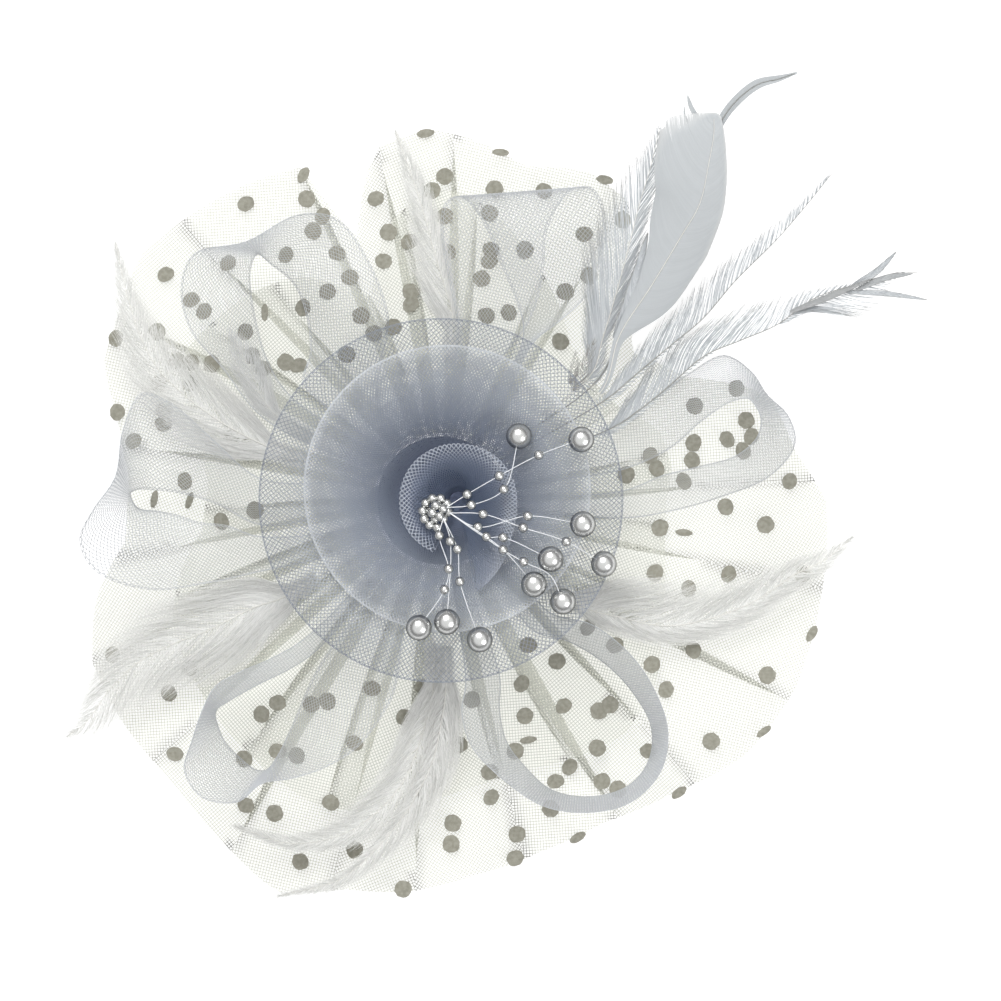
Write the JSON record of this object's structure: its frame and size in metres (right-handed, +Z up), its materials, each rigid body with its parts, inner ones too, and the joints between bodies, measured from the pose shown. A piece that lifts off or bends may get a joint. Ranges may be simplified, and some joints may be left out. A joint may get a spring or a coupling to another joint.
{
  "type": "fascinator",
  "caption": "Fascinator on a hair clip: a layered crin flower with sprays of pearls, looped crin braid, curled feathers and a dotted tulle veil.",
  "frame": {"origin": "centre of the flat underside of the hair clip, on the flower's centre line", "axes": "+Z up out of the flower's face, away from the head; +X to the right and +Y to the top of the picture"},
  "size_m": [0.2635, 0.2551, 0.0487],
  "materials": {
    "clip_metal": "satin",
    "felt": "matt wool felt",
    "tulle": "fine open net with flock dots",
    "braid": "open diagonal crin, slightly glossy threads",
    "feather_blue": "silky barbs",
    "feather_pale": "silky barbs, nearly white",
    "flower_crin": "layered open crin",
    "seed_bead": "silver pearl lustre",
    "pearl": "silver pearl lustre"
  },
  "bodies": {
    "root": {"hair_clip": "clip_metal", "felt_disc": "felt", "veil_lower": "tulle", "veil_upper": "tulle", "loop_top_left": "braid", "loop_left": "braid", "loop_bottom_left": "braid", "loop_bottom_right": "braid", "loop_right": "braid", "loop_top": "braid", "feather_fan": "feather_blue", "feather_curl": "feather_blue", "feather_blade": "feather_blue", "feather_long_high": "feather_blue", "feather_long_low": "feather_blue", "feather_top": "feather_pale", "feather_upper_left": "feather_pale", "feather_left": "feather_pale", "feather_lower_left": "feather_pale", "feather_bottom_left": "feather_pale", "feather_bottom": "feather_pale", "feather_right": "feather_pale", "flower_outer": "flower_crin", "flower_inner": "flower_crin", "flower_heart": "flower_crin", "bead_cluster": "seed_bead", "bead_spray_upper": "seed_bead", "bead_spray_right": "seed_bead", "bead_spray_lower": "seed_bead", "pearl_01": "pearl", "pearl_02": "pearl", "pearl_03": "pearl", "pearl_04": "pearl", "pearl_05": "pearl", "pearl_06": "pearl", "pearl_07": "pearl", "pearl_08": "pearl", "pearl_09": "pearl", "pearl_10": "pearl"}
  },
  "joints": []
}
